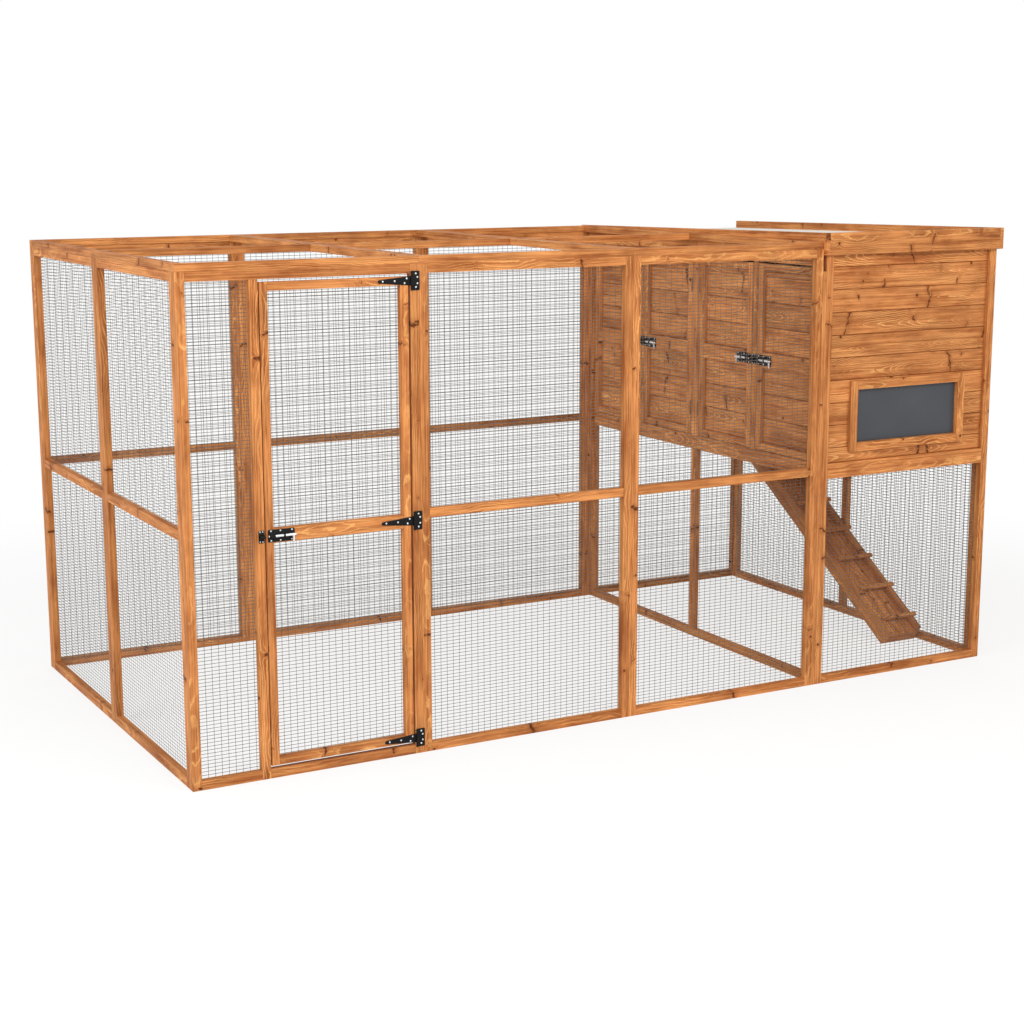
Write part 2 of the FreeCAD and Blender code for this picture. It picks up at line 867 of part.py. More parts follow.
def ramp_fixed_leaf():
    """The wide leaf on the bearer's face, with its outer knuckles and pin."""
    leaf_front = hatch_back - ramp_leaf_thickness
    clear = ramp_pin_z + ramp_knuckle_radius + side_clearance
    leaf_top = ramp_pin_z + ramp_leaf_length
    pieces = [box(ramp_left, ramp_right, leaf_front, hatch_back, clear, leaf_top)]
    for x0, x1 in ((ramp_left, ramp_hinge_inner[0]), (ramp_hinge_inner[1], ramp_right)):
        pieces.append(box(x0, x1, leaf_front, hatch_back, ramp_pin_z, clear))
        pieces.append(knuckle(FreeCAD.Vector(x0, ramp_pin_y, ramp_pin_z), across,
                              ramp_knuckle_radius, x1 - x0))
    pieces.append(rod_along(FreeCAD.Vector(ramp_left, ramp_pin_y, ramp_pin_z), across,
                            ramp_pin_radius, ramp_width))
    return fused(pieces)


def ramp_moving_leaf():
    """The leaf on the ramp's end, with the middle knuckle."""
    pin = ramp_knuckle_radius
    clear = pin + ramp_knuckle_radius + side_clearance
    leaf_back = ramp_length + ramp_leaf_thickness
    x0 = ramp_hinge_inner[0] + side_clearance
    width = ramp_hinge_third - 2 * side_clearance
    start = FreeCAD.Vector(x0, ramp_length + ramp_knuckle_radius, pin)
    whole = fused([
        box(ramp_left, ramp_right, ramp_length, leaf_back, clear, pin + ramp_leaf_length),
        box(x0, x0 + width, ramp_length, leaf_back, pin, clear),
        knuckle(start, across, ramp_knuckle_radius, width),
    ])
    bore = rod_along(start, across, ramp_pin_radius + pin_clearance, width)
    return placed(whole.cut(bore), ramp_placement)


nodes = {}
nodes["left_front_panel_frame"] = run_side_panel(timber_depth)
nodes["left_rear_panel_frame"] = run_side_panel(timber_depth + side_panel_width)
nodes["left_mesh_sheets"] = [run_side_mesh(a0)
                             for a0 in (timber_depth, timber_depth + side_panel_width)]
nodes["door_panel_frame"] = door_panel_frame()
nodes["front_middle_panel_frame"] = run_panel(1, 0)
nodes["front_right_panel_frame"] = run_panel(2, 0)
nodes["front_mesh_sheets"] = [door_side_mesh()] + [
    run_panel_mesh(index, timber_depth) for index in (1, 2)]
nodes["back_left_panel_frame"] = run_panel(0, back_face)
nodes["back_middle_panel_frame"] = run_panel(1, back_face)
nodes["back_right_panel_frame"] = run_panel(2, back_face)
nodes["back_mesh_sheets"] = [
    run_panel_mesh(index, back_face - mesh_thickness) for index in range(panel_count)]
nodes["roof_left_frame"] = roof_panel(0)
nodes["roof_middle_frame"] = roof_panel(1)
nodes["roof_right_frame"] = roof_panel(2)
nodes["joining_battens"] = joining_battens()
nodes["hutch_run_side_frame"] = run_side_frame()
nodes["hutch_front_frame"] = hutch_end_frame(0, roof_underside(timber_depth))
nodes["hutch_right_frame"] = hutch_right_frame()
nodes["hutch_back_frame"] = hutch_end_frame(back_face, roof_underside(overall_depth))
nodes["hutch_front_cladding"] = front_cladding()
nodes["hutch_right_cladding"] = right_cladding()
nodes["hutch_back_cladding"] = back_cladding()
nodes["hutch_mesh_sheets"] = hutch_mesh()
nodes["window_frame"] = window_frame()
nodes["window_pane"] = [window_pane()]
nodes["hutch_floor"] = [hutch_floor()]
nodes["floor_bearers"] = floor_bearers()
nodes["roof_deck"] = [roof_deck()]
nodes["roof_felt"] = [roof_felt()]
nodes["roof_fascias"] = roof_fascias()
nodes["walk_in_door_frame"] = walk_in_door_frame()
nodes["walk_in_door_mesh"] = [walk_in_door_mesh()]
nodes["tee_hinge_plates"] = [tee_plate(height) for height in tee_heights]
nodes["tee_hinge_straps"] = [tee_strap(height) for height in tee_heights]
nodes["walk_in_bolt_base"] = [bolt_base(walk_in_bolt_place)]
nodes["walk_in_bolt_rod"] = [bolt_rod(walk_in_bolt_place, -1)]
keepers = keeper(walk_in_keeper_place, keeper_width)
post_leaves = []

for number, (low_face, high_face, side) in enumerate(hutch_doors, start=1):
    door_low = low_face + hutch_door_gap
    door_high = high_face - hutch_door_gap
    hinge_face = low_face if side > 0 else high_face
    free_face = high_face if side > 0 else low_face
    slide = FreeCAD.Vector(0, side, 0)
    outward = FreeCAD.Vector(-1, 0, 0)
    bolt_end = free_face - side * 2 * hutch_door_gap
    bolt_place = bolt_frame(FreeCAD.Vector(hutch_left, bolt_end, hutch_mid_rail_centre),
                            slide, outward)
    keeper_place = bolt_frame(FreeCAD.Vector(hutch_left, free_face, hutch_mid_rail_centre),
                              slide, outward)
    label = "hutch_door_%d" % number
    nodes[label + "_frame"] = hutch_door_frame(door_low, door_high)
    nodes[label + "_boards"] = hutch_door_boards(door_low, door_high)
    nodes[label + "_hinges_and_bolt"] = [bolt_base(bolt_place)] + [
        butt_door_leaf(hinge_face, side, height) for height in butt_heights()]
    nodes[label + "_bolt_rod"] = [bolt_rod(bolt_place, side)]
    keepers += keeper(keeper_place, timber_face / 2)
    post_leaves += [butt_post_leaf(hinge_face, side, height) for height in butt_heights()]

nodes["bolt_keepers"] = keepers
nodes["hutch_hinge_post_leaves"] = post_leaves
nodes["ramp_side_rails"] = ramp_rails()
nodes["ramp_deck"] = ramp_deck()
nodes["ramp_hinge_leaf"] = [ramp_moving_leaf()]
nodes["bearer_hinge_leaf"] = [ramp_fixed_leaf()]

shift = FreeCAD.Vector(-overall_right / 2, -(overall_front + overall_back) / 2, 0)
os.makedirs("parts", exist_ok=True)
for name, solids in nodes.items():
    whole = Part.makeCompound(solids) if len(solids) > 1 else solids[0].copy()
    whole.translate(shift)
    whole.exportStep("parts/%s.step" % name)
print(len(nodes), "nodes")
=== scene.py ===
import json
import math
import random
from collections import Counter

import bmesh
import bpy
from mathutils import Matrix, Vector

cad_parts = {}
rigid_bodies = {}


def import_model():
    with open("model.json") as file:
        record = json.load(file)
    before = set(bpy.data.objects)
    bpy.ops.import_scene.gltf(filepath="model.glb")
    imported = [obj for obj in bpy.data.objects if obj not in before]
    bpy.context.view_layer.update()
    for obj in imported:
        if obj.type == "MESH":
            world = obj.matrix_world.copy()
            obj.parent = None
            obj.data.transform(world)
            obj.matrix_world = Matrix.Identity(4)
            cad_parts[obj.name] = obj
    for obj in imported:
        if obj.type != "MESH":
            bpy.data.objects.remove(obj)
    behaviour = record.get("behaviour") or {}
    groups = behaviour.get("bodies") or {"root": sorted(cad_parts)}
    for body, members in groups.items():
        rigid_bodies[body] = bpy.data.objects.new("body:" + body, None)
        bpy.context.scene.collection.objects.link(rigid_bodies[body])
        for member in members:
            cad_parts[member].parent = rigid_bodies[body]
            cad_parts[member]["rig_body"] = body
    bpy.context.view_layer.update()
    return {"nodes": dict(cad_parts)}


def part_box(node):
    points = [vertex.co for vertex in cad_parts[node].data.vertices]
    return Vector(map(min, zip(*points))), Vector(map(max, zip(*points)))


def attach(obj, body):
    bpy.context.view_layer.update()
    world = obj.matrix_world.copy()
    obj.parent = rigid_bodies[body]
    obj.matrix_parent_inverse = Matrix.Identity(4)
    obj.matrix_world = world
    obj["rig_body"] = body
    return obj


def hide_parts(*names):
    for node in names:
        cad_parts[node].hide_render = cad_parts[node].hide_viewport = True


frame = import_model()
nodes = frame["nodes"]
scene = bpy.context.scene
mm = 0.001
X, Y, Z = Vector((1, 0, 0)), Vector((0, 1, 0)), Vector((0, 0, 1))
door_numbers = (1, 2, 3, 4)
bevel_profile = 0.6


# Colours and shader nodes
def srgb(r, g, b):
    def linear(c):
        c /= 255
        return c / 12.92 if c <= 0.04045 else ((c + 0.055) / 1.055) ** 2.4
    return (linear(r), linear(g), linear(b), 1.0)


class Tree:
    """Builds a node tree. Each helper takes sockets or plain values."""

    def __init__(self, owner, output):
        owner.use_nodes = True
        self.owner = owner
        self.tree = owner.node_tree
        self.tree.nodes.clear()
        self.out = self.tree.nodes.new(output)

    def put(self, socket, value):
        if isinstance(value, bpy.types.NodeSocket):
            self.tree.links.new(value, socket)
        elif value is not None:
            socket.default_value = value

    def add(self, kind, inputs=None, **props):
        made = self.tree.nodes.new(kind)
        for key, value in props.items():
            setattr(made, key, value)
        for key, value in (inputs or {}).items():
            self.put(made.inputs[key], value)
        return made

    def math(self, operation, a, b=None, c=None, clamp=False):
        made = self.add("ShaderNodeMath", operation=operation, use_clamp=clamp)
        for index, value in enumerate((a, b, c)):
            self.put(made.inputs[index], value)
        return made.outputs[0]

    def seen_directly(self):
        """1 for the rays of the camera, also by way of a mirror or through glass, else 0."""
        rays = self.add("ShaderNodeLightPath").outputs
        seen = self.math("ADD", rays["Is Camera Ray"], rays["Is Glossy Ray"], clamp=True)
        return self.math("ADD", seen, rays["Is Transmission Ray"], clamp=True)

    def show(self, factor, shader, other):
        """Sends a mix of two shaders to the output."""
        mixed = self.add("ShaderNodeMixShader", {0: factor, 1: shader.outputs[0],
                                                 2: other.outputs[0]})
        self.tree.links.new(mixed.outputs[0], self.out.inputs[0])


class Shade(Tree):
    """Builds one node material."""

    def __init__(self, name):
        super().__init__(bpy.data.materials.new(name), "ShaderNodeOutputMaterial")

    def spread(self, value, low, high, to_low, to_high, kind="LINEAR"):
        made = self.add("ShaderNodeMapRange", interpolation_type=kind)
        for index, item in enumerate((value, low, high, to_low, to_high)):
            self.put(made.inputs[index], item)
        return made.outputs[0]

    def mix(self, factor, a, b, blend="MIX"):
        made = self.add("ShaderNodeMix", {0: factor, 6: a, 7: b}, data_type="RGBA",
                        blend_type=blend)
        return made.outputs[2]

    def object_place(self):
        return self.add("ShaderNodeTexCoord").outputs["Object"]

    def noise(self, vector, scale, detail, rough=0.5):
        made = self.add("ShaderNodeTexNoise", {"Vector": vector, "Scale": scale, "Detail": detail,
                                               "Roughness": rough})
        return made.outputs["Fac"]

    def ramp(self, value, stops):
        """A curve through stops of place and level."""
        made = self.add("ShaderNodeValToRGB", {"Fac": value})
        elements = made.color_ramp.elements
        while len(elements) < len(stops):
            elements.new(0.5)
        for element, (place, level) in zip(elements, stops):
            element.position = place
            element.color = (level, level, level, 1.0)
        return made.outputs["Color"]

    def bump(self, height, strength, distance):
        return self.add("ShaderNodeBump", {"Height": height, "Strength": strength,
                                           "Distance": distance}).outputs[0]

    def finish(self, **inputs):
        shader = self.add("ShaderNodeBsdfPrincipled")
        for key, value in inputs.items():
            self.put(shader.inputs[key.replace("_", " ")], value)
        self.tree.links.new(shader.outputs[0], self.out.inputs[0])
        return self.owner


class WoodShade(Shade):
    """Patterns of a log.

    The attribute grain gives a point's place in the log: x along it, y and z from its heart.
    """

    def __init__(self, name):
        super().__init__(name)
        self.grain = self.attribute("grain", "Vector")
        self.x, self.y, self.z = self.add("ShaderNodeSeparateXYZ", {"Vector": self.grain}).outputs

    def attribute(self, name, output="Fac"):
        return self.add("ShaderNodeAttribute", attribute_name=name).outputs[output]

    def drawn_out(self, along, aside, detail, rough=0.55):
        """Noise with a scale of its own along the log."""
        mapped = self.add("ShaderNodeMapping", {"Vector": self.grain,
                                                "Scale": (along, aside, aside)})
        return self.noise(mapped.outputs[0], 1.0, detail, rough)

    def swing(self, field, width):
        """A noise as an offset to either side of 0."""
        return self.math("MULTIPLY", self.math("SUBTRACT", field, 0.5), width)

    def cells(self, size, **place):
        """Distance from the middle of the nearest cell, and a number between 0 and 1 for it."""
        made = self.add("ShaderNodeTexVoronoi", {"Scale": 1 / size, "Randomness": 0.95, **place},
                        voronoi_dimensions="1D" if "W" in place else "2D")
        chance = self.add("ShaderNodeSeparateColor", {"Color": made.outputs["Color"]}).outputs[0]
        return self.math("MULTIPLY", made.outputs["Distance"], size), chance

    def round_knots(self, cell):
        """Round knots, and a halo round each."""
        least = 0.45
        wander = self.swing(self.noise(self.grain, 110.0, 2.0), 6 * mm)
        offset = self.add("ShaderNodeCombineXYZ", {0: wander, 1: wander}).outputs[0]
        shaken = self.add("ShaderNodeVectorMath", {0: self.grain, 1: offset}, operation="ADD")
        gap, chance = self.cells(cell, Vector=shaken.outputs[0])
        there = self.math("GREATER_THAN", chance, least)
        radius = self.spread(chance, least, 1.0, 2.2 * mm, 7.5 * mm)
        reach = self.math("MULTIPLY_ADD", radius, 3.4, 8 * mm)
        halo = self.math("SUBTRACT", 1.0, self.math("DIVIDE", gap, reach), clamp=True)
        halo = self.math("MULTIPLY", self.math("MULTIPLY", halo, halo), there)
        knot = self.math("DIVIDE", self.math("SUBTRACT", radius, gap), 1.6 * mm, clamp=True)
        return self.math("MULTIPLY", knot, there), halo

    def spike_knots(self, cell):
        """Marks across the grain that lean one way or the other, and a halo round each."""
        least = 0.25
        broken = self.spread(self.noise(self.grain, 130.0, 2.0), 0.38, 0.5, 0.3, 1.0)
        bent = self.swing(self.noise(self.grain, 42.0, 2.0), 34 * mm)
        patches = self.noise(self.grain, 16.0, 1.0)
        marks, halos = [], []
        for lean, size, none, full in ((0.3, cell, 0.47, 0.57), (-0.25, cell * 1.37, 0.52, 0.43)):
            slanted = self.math("ADD", self.math("MULTIPLY_ADD", self.y, lean, self.x), bent)
            gap, chance = self.cells(size, W=slanted)
            there = self.math("MULTIPLY", self.math("GREATER_THAN", chance, least),
                              self.spread(patches, none, full, 0.0, 1.0))
            thick = self.spread(chance, least, 1.0, 4.5 * mm, 8.5 * mm)
            past = self.math("SUBTRACT", self.math("MULTIPLY", thick, there), gap)
            marks.append(self.math("DIVIDE", past, 2.2 * mm, clamp=True))
            halos.append(self.math("MULTIPLY", self.spread(gap, 3 * mm, 26 * mm, 1.0, 0.0), there))
        mark = self.math("MULTIPLY", self.math("MAXIMUM", *marks), broken)
        return mark, self.math("MAXIMUM", *halos)

    def year_rings(self, ring, taper, halo, spike_halo):
        """Lines of the year rings, bent round the knots."""
        heart = self.math("SQRT", self.math("ADD", self.math("MULTIPLY", self.y, self.y),
                                            self.math("MULTIPLY", self.z, self.z)))
        wave = self.swing(self.drawn_out(3.4, 5.0, 1.0), 50 * mm)
        jag = self.swing(self.drawn_out(24.0, 60.0, 2.0), 6 * mm)
        radial = self.math("ADD", self.math("MULTIPLY_ADD", self.x, taper, heart),
                           self.math("ADD", wave, jag))
        radial = self.math("MULTIPLY_ADD", halo, 12 * mm, radial)
        radial = self.math("MULTIPLY_ADD", spike_halo, 8 * mm, radial)
        turn = self.math("FRACT", self.math("DIVIDE", radial, ring))
        return self.ramp(turn, ring_profile)


# How strong the line is from one year ring to the next, as pairs of place and level
ring_profile = ((0.0, 0.0), (0.62, 0.0), (0.86, 1.0), (0.92, 1.0), (1.0, 0.0))
# Brown of the dark joint lines in the board grooves, partly painted shade, and of painted shade
# towards board ends
joint_and_end_shade_brown = srgb(128, 62, 20)


def wood(name, light, dark, pale, knot, ring, taper, figure, knot_cell, spike_cell):
    """Stained softwood: soft streaks, pale ring lines in pointed arches, round and spike knots.

    ring is the width of a year ring, taper the log's, figure the strength of the ring lines, and
    knot_cell and spike_cell the usual distance between knots.
    """
    s = WoodShade(name)
    knots, halo = s.round_knots(knot_cell)
    spikes, spike_halo = s.spike_knots(spike_cell)
    line = s.year_rings(ring, taper, halo, spike_halo)
    shown = s.spread(s.drawn_out(2.2, 13.0, 2.0), 0.45, 0.64, 0.1, 1.0)
    fibre = s.drawn_out(9.0, 520.0, 2.0)
    streak = s.drawn_out(3.2, 120.0, 3.0, 0.6)
    cloud = s.drawn_out(5.0, 14.0, 4.0, 0.6)
    vein = s.drawn_out(1.6, 210.0, 2.0)
    blotch = s.drawn_out(7.0, 20.0, 2.0)

    amount = s.math("ADD", s.spread(streak, 0.38, 0.68, 0.0, 0.75),
                    s.spread(cloud, 0.42, 0.7, 0.0, 0.6), clamp=True)
    colour = s.mix(amount, light, dark)
    colour = s.mix(s.spread(vein, 0.58, 0.7, 0.0, 0.8), colour, dark)
    colour = s.mix(s.math("MULTIPLY", s.math("MULTIPLY", line, shown), figure), colour, pale)
    for around in (halo, spike_halo):
        colour = s.mix(s.math("MULTIPLY", around, 0.6), colour, dark)
    value = s.math("MULTIPLY", s.spread(fibre, 0.25, 0.75, 0.84, 1.12), s.attribute("tone"))
    value = s.math("MULTIPLY", value, s.spread(blotch, 0.3, 0.7, 0.88, 1.1))
    grey = s.add("ShaderNodeCombineColor", {0: value, 1: value, 2: value}).outputs[0]
    colour = s.mix(1.0, colour, grey, "MULTIPLY")
    colour = s.mix(s.math("MULTIPLY", knots, 0.9), colour, knot)
    colour = s.mix(s.math("MULTIPLY", spikes, 0.95), colour, knot)
    # Painted shade towards board ends, and dark joint lines in the grooves that are partly painted
    # shade
    colour = s.mix(s.attribute("joint_and_end_shade"), colour, joint_and_end_shade_brown)
    height = s.math("MULTIPLY_ADD", fibre, 0.5, s.math("MULTIPLY", line, 0.3))
    return s.finish(Base_Color=colour, Normal=s.bump(height, 0.3, 0.5 * mm),
                    Roughness=s.spread(fibre, 0.2, 0.8, 0.55, 0.7), Specular_IOR_Level=0.16)


def metal(name, colour, worn, metallic, rough, shine=0.5):
    """Steel with a finish that varies from place to place, and a fine grit."""
    s = Shade(name)
    place = s.object_place()
    broad = s.noise(place, 60.0, 4.0)
    grit = s.noise(place, 900.0, 2.0)
    tint = s.mix(s.spread(broad, 0.35, 0.7, 0.0, 1.0), colour, worn)
    return s.finish(Base_Color=tint, Metallic=metallic, Normal=s.bump(grit, 0.2, 0.2 * mm),
                    Roughness=s.spread(broad, 0.3, 0.7, rough - 0.08, rough + 0.1),
                    Specular_IOR_Level=shine)


def felt():
    s = Shade("mineral_felt")
    place = s.object_place()
    grit = s.noise(place, 700.0, 2.0, 0.7)
    patch = s.noise(place, 3.0, 4.0)
    colour = s.mix(s.spread(grit, 0.35, 0.65, 0.0, 1.0), srgb(246, 242, 234), srgb(228, 224, 216))
    colour = s.mix(s.spread(patch, 0.4, 0.7, 0.0, 0.35), colour, srgb(234, 230, 222))
    return s.finish(Base_Color=colour, Roughness=0.92, Normal=s.bump(grit, 0.5, 0.8 * mm))


def pane():
    s = Shade("window_sheet")
    place = s.object_place()
    cloud = s.noise(place, 4.0, 2.0)
    ripple = s.noise(place, 22.0, 1.0)
    colour = s.mix(s.spread(cloud, 0.3, 0.7, 0.0, 1.0), srgb(71, 73, 78), srgb(64, 67, 72))
    return s.finish(Base_Color=colour, Normal=s.bump(ripple, 0.04, 2 * mm),
                    Roughness=s.spread(cloud, 0.3, 0.7, 0.24, 0.32), Specular_IOR_Level=0.25)


timber_mat = wood("stained_timber", light=srgb(213, 141, 81), dark=srgb(148, 81, 37),
                  pale=srgb(244, 182, 110), knot=srgb(84, 40, 12), ring=5.6 * mm, taper=0.02,
                  figure=0.6, knot_cell=270 * mm, spike_cell=700 * mm)
board_mat = wood("stained_boards", light=srgb(212, 140, 81), dark=srgb(150, 83, 38),
                 pale=srgb(244, 188, 118), knot=srgb(86, 41, 13), ring=6.2 * mm, taper=0.1,
                 figure=0.7, knot_cell=200 * mm, spike_cell=360 * mm)
ply_mat = wood("plywood", light=srgb(216, 170, 118), dark=srgb(186, 134, 84),
               pale=srgb(228, 190, 142), knot=srgb(120, 76, 42), ring=13 * mm, taper=0.02,
               figure=0.5, knot_cell=500 * mm, spike_cell=1200 * mm)
wire_mat = metal("galvanised_wire", srgb(89, 84, 76), srgb(117, 111, 102), metallic=0.3,
                 rough=0.45)
black_mat = metal("black_japanned_steel", srgb(6, 6, 7), srgb(11, 11, 12), metallic=0.0,
                  rough=0.5, shine=0.2)
brown_mat = metal("brown_lacquered_steel", srgb(146, 100, 66), srgb(158, 110, 74), metallic=0.0,
                  rough=0.6, shine=0.2)
zinc_mat = metal("zinc_plated_steel", srgb(240, 241, 243), srgb(220, 221, 224), metallic=0.65,
                 rough=0.3)
# Near-black for the cross of each screw head: painted shade of the cross recess
recess_shade_mat = metal("screw_recess_painted_shade", srgb(30, 30, 31), srgb(44, 44, 45), metallic=0.2, rough=0.6)
felt_mat = felt()
pane_mat = pane()


# Solids of the CAD nodes
def solids(node):
    """The faces of each solid of a node, as lists of points. A solid ends where it closes."""
    mesh = nodes[node].data
    keys = [tuple(round(c * 1e5) for c in v.co) for v in mesh.vertices]
    groups, edges, current, still_open = [], Counter(), [], 0
    for poly in mesh.polygons:
        ring = [keys[i] for i in poly.vertices]
        current.append([mesh.vertices[i].co.copy() for i in poly.vertices])
        for a, b in zip(ring, ring[1:] + ring[:1]):
            if edges[(b, a)] > 0:
                edges[(b, a)] -= 1
                still_open -= 1
            else:
                edges[(a, b)] += 1
                still_open += 1
        if still_open == 0:
            groups.append(current)
            edges, current = Counter(), []
    return groups


def solid_box(faces):
    points = [p for face in faces for p in face]
    low = Vector([min(p[i] for p in points) for i in range(3)])
    high = Vector([max(p[i] for p in points) for i in range(3)])
    return low, high


def welded(faces):
    """A bmesh of one solid with its triangles joined to whole faces."""
    bm = bmesh.new()
    for face in faces:
        bm.faces.new([bm.verts.new(p) for p in face])
    bmesh.ops.remove_doubles(bm, verts=bm.verts, dist=0.02 * mm)
    bmesh.ops.dissolve_limit(bm, angle_limit=math.radians(1.0), verts=bm.verts, edges=bm.edges)
    bm.normal_update()
    return bm


def add_mesh(name, mesh, body, materials, *replaced, slot):
    """A visible piece that rides on a body and takes the place of the nodes named in replaced."""
    for material in materials:
        mesh.materials.append(material)
    obj = bpy.data.objects.new(name, mesh)
    scene.collection.objects.link(obj)
    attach(obj, body)
    if replaced:
        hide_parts(*replaced)
    return obj


def body_of(node):
    return nodes[node]["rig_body"]


# Timbers and boards. Board darkening is given as pairs of reach from an edge and share:
# dark joint lines in the grooves, partly painted shade, and painted shade towards the ends.
groove_min_width = 30 * mm
end_insets = (5 * mm, 15 * mm)
# Darkening at the grooves is partly painted shade; towards the ends it is painted shade
groove_joint_and_shade = ((0.6 * mm, 0.92), (2.7 * mm, 0.4))
end_painted_shade = ((1 * mm, 0.6), (6 * mm, 0.4))
log_length = 40
shades = (0.88, 1.08)
timber_edge_angle = math.radians(20)
steel_edge_angle = math.radians(40)


def reach_along(bm, way):
    places = [v.co.dot(way) for v in bm.verts]
    return min(places), max(places)


def direction(edge):
    return (edge.verts[1].co - edge.verts[0].co).normalized()


def local_axes(bm):
    """Directions of a timber: along its length, across its width, into its thickness."""
    along = direction(max(bm.edges, key=lambda e: e.calc_length()))
    widest, across = 0.0, None
    for face in bm.faces:
        normal = face.normal
        if abs(normal.dot(along)) > 0.1:
            continue
        low, high = reach_along(bm, normal)
        if high - low > widest + 0.01 * mm:
            widest, across = high - low, normal.copy()
    return along, across, along.cross(across)


def cut_across(bm, along, place):
    bmesh.ops.bisect_plane(bm, geom=bm.verts[:] + bm.edges[:] + bm.faces[:], dist=1e-6,
                           plane_co=along * place, plane_no=along)


def joint_and_end_shade_share(point, across, rims, along, ends):
    """How dark a point of a board is painted: dark joint lines in its grooves, partly painted
    shade, and painted shade towards its ends.
    """
    shares = [0.0]
    for way, limits, steps in ((across, rims, groove_joint_and_shade), (along, ends, end_painted_shade)):
        gap = min(abs(point.dot(way) - limit) for limit in limits)
        shares += [share for reach, share in steps if gap < reach]
    return max(shares)


def timber(node, material, slot, bevel, heart=(35 * mm, 90 * mm), spread=50 * mm, groove=0.0):
    """The node's timbers with eased edges, and the grain of each along its own length.

    The heart of the log lies behind a timber's middle by a draw from heart, and aside of it by
    up to spread. Boards have a groove along both long edges, darkened there as a joint line that
    is partly painted shade, and painted shade towards their ends.
    """
    rng = random.Random(node)
    whole = bmesh.new()
    grain = whole.verts.layers.float_vector.new("grain")
    tone = whole.verts.layers.float.new("tone")
    joint_and_end_shade = whole.verts.layers.float.new("joint_and_end_shade")
    for faces in solids(node):
        bm = welded(faces)
        along, across, into = local_axes(bm)
        middle = sum((v.co for v in bm.verts), Vector()) / len(bm.verts)
        rims = reach_along(bm, across)
        ends = reach_along(bm, along)
        sharp = [e for e in bm.edges if len(e.link_faces) == 2
                 and e.calc_face_angle(0.0) > timber_edge_angle]
        grooved = groove and rims[1] - rims[0] > groove_min_width
        if grooved:
            lengthwise = [e for e in sharp if abs(direction(e).dot(along)) > 0.99]
            bmesh.ops.bevel(bm, geom=lengthwise, offset=groove, segments=1, affect="EDGES",
                            clamp_overlap=True)
            # Cuts near the ends that carry the painted shade there
            for end, way in zip(ends, (1, -1)):
                for inset in end_insets:
                    cut_across(bm, along, end + way * inset)
        else:
            bmesh.ops.bevel(bm, geom=sharp, offset=bevel, segments=2, profile=bevel_profile,
                            affect="EDGES", clamp_overlap=True)
        shift = rng.uniform(0, log_length)
        aside = rng.uniform(-spread, spread)
        deep = rng.choice((-1, 1)) * rng.uniform(*heart)
        shade = rng.uniform(*shades)
        lift = {}
        for v in bm.verts:
            new = whole.verts.new(v.co)
            rel = v.co - middle
            new[grain] = (rel.dot(along) + shift, rel.dot(across) + aside, rel.dot(into) + deep)
            new[tone] = shade
            # Painted shade towards the ends, and dark joint lines in the grooves that are partly
            # painted shade
            new[joint_and_end_shade] = joint_and_end_shade_share(v.co, across, rims, along, ends) if grooved else 0.0
            lift[v] = new
        for face in bm.faces:
            whole.faces.new([lift[v] for v in face.verts])
        bm.free()
    mesh = bpy.data.meshes.new(node + "_wood")
    whole.to_mesh(mesh)
    whole.free()
    add_mesh(node + "_wood", mesh, body_of(node), [material], node, slot=slot)


for name in ("left_front_panel_frame", "left_rear_panel_frame", "door_panel_frame",
             "front_middle_panel_frame", "front_right_panel_frame", "back_left_panel_frame",
             "back_middle_panel_frame", "back_right_panel_frame", "roof_left_frame",
             "roof_middle_frame", "roof_right_frame", "joining_battens", "hutch_run_side_frame",
             "hutch_front_frame", "hutch_right_frame", "hutch_back_frame", "window_frame",
             "floor_bearers", "roof_fascias", "walk_in_door_frame", "ramp_side_rails",
             *("hutch_door_%d_frame" % number for number in door_numbers)):
    timber(name, timber_mat, "timber", bevel=1.3 * mm)
for name in ("hutch_front_cladding", "hutch_right_cladding", "hutch_back_cladding",
             *("hutch_door_%d_boards" % number for number in door_numbers)):
    timber(name, board_mat, "cladding", bevel=0.6 * mm, heart=(6 * mm, 24 * mm), spread=28 * mm,
           groove=1.9 * mm)
timber("ramp_deck", board_mat, "cladding", bevel=1.1 * mm, heart=(12 * mm, 50 * mm),
       spread=30 * mm)
for name in ("hutch_floor", "roof_deck"):
    timber(name, ply_mat, "plywood", bevel=0.5 * mm, heart=(300 * mm, 500 * mm),
           spread=200 * mm)


# Weldmesh: upright wires with level wires welded across them. The left wall's are thinner, and
# under the hutch the front sheet alone lies before hutch_front_y.
upright_pitch = 25.8 * mm
level_pitch = 12.9 * mm
upright_radius = 0.83 * mm
level_radius = 1.0 * mm
left_upright_radius = 0.38 * mm
left_level_radius = 0.84 * mm
upright_jitter = 0.2 * mm
level_jitter = 0.15 * mm
wire_sides = 6
weld_depth = 0.9
hutch_front_y = -0.8


def circle(sides):
    """The angles of a ring's corners."""
    return [2 * math.pi * k / sides for k in range(sides)]


def wire(verts, faces, start, along, length, side, out, radius):
    first = len(verts)
    for end in (start, start + along * length):
        for turn in circle(wire_sides):
            verts.append(end + (side * math.cos(turn) + out * math.sin(turn)) * radius)
    for k in range(wire_sides):
        after = (k + 1) % wire_sides
        faces.append((first + k, first + after, first + wire_sides + after,
                      first + wire_sides + k))


def row(rng, length, pitch, jitter):
    """Places of wires a pitch apart, centred in a length, each off its place by the jitter."""
    count = int(length / pitch)
    edge = (length - count * pitch) / 2
    return [edge + k * pitch + rng.uniform(-jitter, jitter) for k in range(count + 1)]


